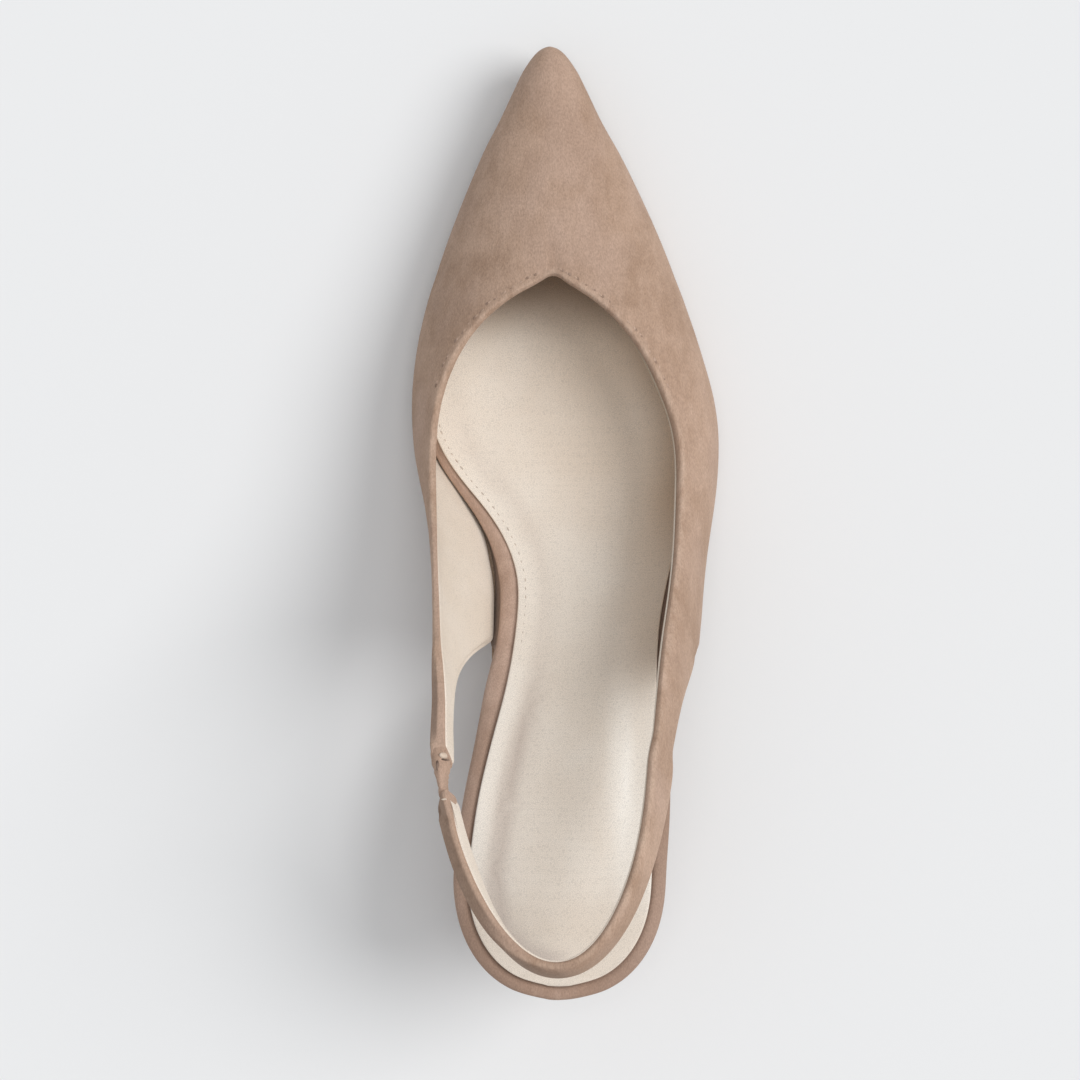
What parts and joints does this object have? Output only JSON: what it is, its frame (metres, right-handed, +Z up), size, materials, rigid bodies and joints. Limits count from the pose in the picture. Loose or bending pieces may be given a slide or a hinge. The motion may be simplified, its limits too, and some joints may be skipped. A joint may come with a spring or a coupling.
{
  "type": "slingback pump",
  "caption": "Suede slingback shoe for the right foot, with a pointed toe, V throat, open waist, sling strap with a covered elastic, and a slim covered kitten heel.",
  "frame": {"origin": "middle of the plan box, on the floor", "axes": "+Y from the heel to the toe, +X to the little-toe side, +Z up"},
  "size_m": [0.0836, 0.2548, 0.0971],
  "materials": {
    "suede": "taupe suede, matt, cream leather lining inside",
    "sole_leather": "smooth tan sole leather",
    "insole_wrap": "taupe leather wrapped round the insole's rim",
    "sock_leather": "smooth cream leather",
    "heel_cover": "taupe suede over a moulded heel",
    "heel_tip": "dark matt top piece",
    "elastic_cover": "gathered suede over elastic"
  },
  "bodies": {
    "root": {"upper": "suede", "outsole": "sole_leather", "insole": "insole_wrap", "sock": "sock_leather", "heel": "heel_cover", "heel_tip": "heel_tip", "elastic": "elastic_cover"}
  },
  "joints": []
}
